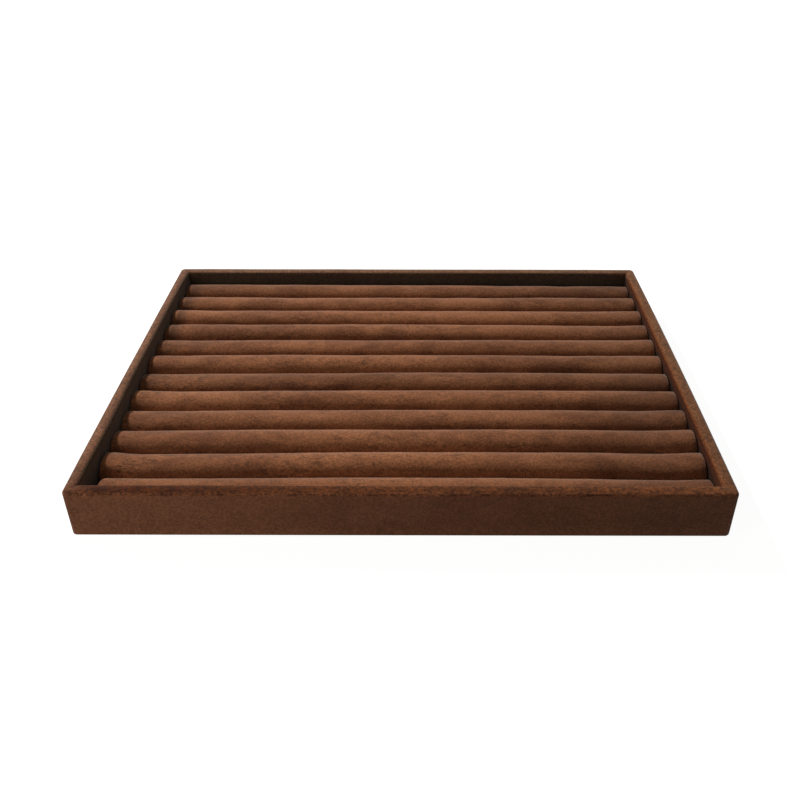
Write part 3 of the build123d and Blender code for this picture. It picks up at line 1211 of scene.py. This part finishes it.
# Light and floor

WHITE = (1.0, 1.0, 1.0, 1.0)
WORLD_COLOUR = (1.0, 0.98, 0.95, 1.0)
FLOOR_COLOUR = (0.25, 0.25, 0.245, 1.0)
FLOOR_HALF = 8.0
GLOW_NEAR, GLOW_FAR = 0.3, 0.9


def add_lamp(name, place, diameter, level, colour):
    """A round lamp aimed at the tray's middle; level is its light there as for a sun."""
    data = bpy.data.lights.new(name, "AREA")
    data.shape = "DISK"
    data.size = diameter
    data.energy = level * math.pi * place.length**2
    data.color = colour
    lamp = bpy.data.objects.new(name, data)
    lamp.location = place
    lamp.rotation_euler = (-place).to_track_quat("-Z", "Y").to_euler()
    lamp.visible_camera = False
    bpy.context.collection.objects.link(lamp)


def white_to_the_eye(tree):
    """1 where a camera, mirror or glass ray arrives, 0 for light that falls on the object."""
    ray = tree.nodes.new("ShaderNodeLightPath").outputs
    seen = maths(tree, "MAXIMUM", ray["Is Camera Ray"], ray["Is Glossy Ray"])
    return maths(tree, "MAXIMUM", seen, ray["Is Transmission Ray"])


def make_world(strength):
    """White to the eye, and an even light of a plain strength on the object."""
    world = bpy.data.worlds.new("studio")
    bpy.context.scene.world = world
    world.use_nodes = True
    tree = world.node_tree
    seen = tree.nodes.new("ShaderNodeBackground")
    seen.inputs["Color"].default_value = WHITE
    seen.inputs["Strength"].default_value = 1.0
    ambient = tree.nodes["Background"]
    ambient.inputs["Color"].default_value = WORLD_COLOUR
    ambient.inputs["Strength"].default_value = strength
    mix = tree.nodes.new("ShaderNodeMixShader")
    tree.links.new(white_to_the_eye(tree), mix.inputs["Fac"])
    tree.links.new(ambient.outputs["Background"], mix.inputs[1])
    tree.links.new(seen.outputs["Background"], mix.inputs[2])
    tree.links.new(mix.outputs["Shader"], tree.nodes["World Output"].inputs["Surface"])


def floor_material(near_glow):
    """Matt floor that glows white to the eye, a little less near the tray, and keeps its shadow."""
    material = bpy.data.materials.new("floor")
    material.use_nodes = True
    tree = material.node_tree
    nodes, links = tree.nodes, tree.links
    nodes.remove(nodes["Principled BSDF"])
    diffuse = nodes.new("ShaderNodeBsdfDiffuse")
    diffuse.inputs["Color"].default_value = FLOOR_COLOUR
    distance = nodes.new("ShaderNodeVectorMath")
    distance.operation = "LENGTH"
    links.new(scaled_coordinates(tree), distance.inputs["Vector"])
    emission = nodes.new("ShaderNodeEmission")
    emission.inputs["Color"].default_value = WHITE
    glow = spread_out(tree, distance.outputs["Value"], GLOW_NEAR, GLOW_FAR, to_low=near_glow)
    links.new(glow, emission.inputs["Strength"])
    both = nodes.new("ShaderNodeAddShader")
    mix = nodes.new("ShaderNodeMixShader")
    links.new(diffuse.outputs["BSDF"], both.inputs[0])
    links.new(emission.outputs["Emission"], both.inputs[1])
    links.new(white_to_the_eye(tree), mix.inputs["Fac"])
    links.new(diffuse.outputs["BSDF"], mix.inputs[1])
    links.new(both.outputs["Shader"], mix.inputs[2])
    links.new(mix.outputs["Shader"], nodes["Material Output"].inputs["Surface"])
    return material


def make_floor(near_glow):
    """Pale floor at the tray's foot."""
    corners = ((-1, -1), (1, -1), (1, 1), (-1, 1))
    points = [(FLOOR_HALF * x, FLOOR_HALF * y, 0.0) for x, y in corners]
    floor = add_piece("floor", points, [(0, 1, 2, 3)], floor_material(near_glow))


add_lamp("key", Vector((-1.07, 1.22, 1.50)), diameter=0.24, level=3.35, colour=(1.0, 0.98, 0.95))
add_lamp("fill", Vector((-0.44, -0.44, 0.28)), diameter=0.4, level=0.52, colour=(1.0, 0.97, 0.93))
make_world(strength=0.16)
make_floor(near_glow=0.94)

bpy.context.scene.view_settings.view_transform = "Standard"
